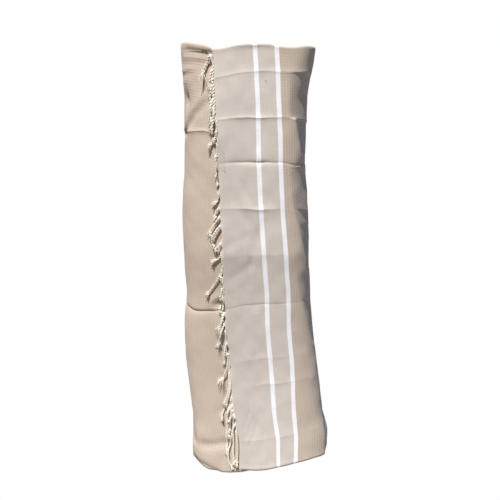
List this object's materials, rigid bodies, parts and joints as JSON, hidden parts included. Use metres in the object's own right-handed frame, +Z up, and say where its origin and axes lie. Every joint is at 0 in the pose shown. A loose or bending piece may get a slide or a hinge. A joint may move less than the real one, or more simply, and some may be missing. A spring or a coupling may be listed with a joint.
{
  "type": "hammam towel",
  "caption": "Flat-woven cotton hammam towel with white stripes and a knotted fringe, wound upright into a hollow strapless wrap.",
  "frame": {"origin": "on the axis of the tube, 80 mm below its highest edge, in the middle of the opening where the wrap is held from inside", "axes": "+Z up along the tube, -Y out of the front of the wrap, +X to the right seen from the front"},
  "size_m": [0.3545, 0.2565, 1.0269],
  "materials": {
    "sand_cotton": "matt woven cotton, plain and honeycomb weave with white stripes",
    "cream_yarn": "matt twisted cotton cords"
  },
  "bodies": {
    "root": {"towel_cloth": "sand_cotton", "fringe_outer": "cream_yarn", "fringe_inner": "cream_yarn"}
  },
  "joints": []
}
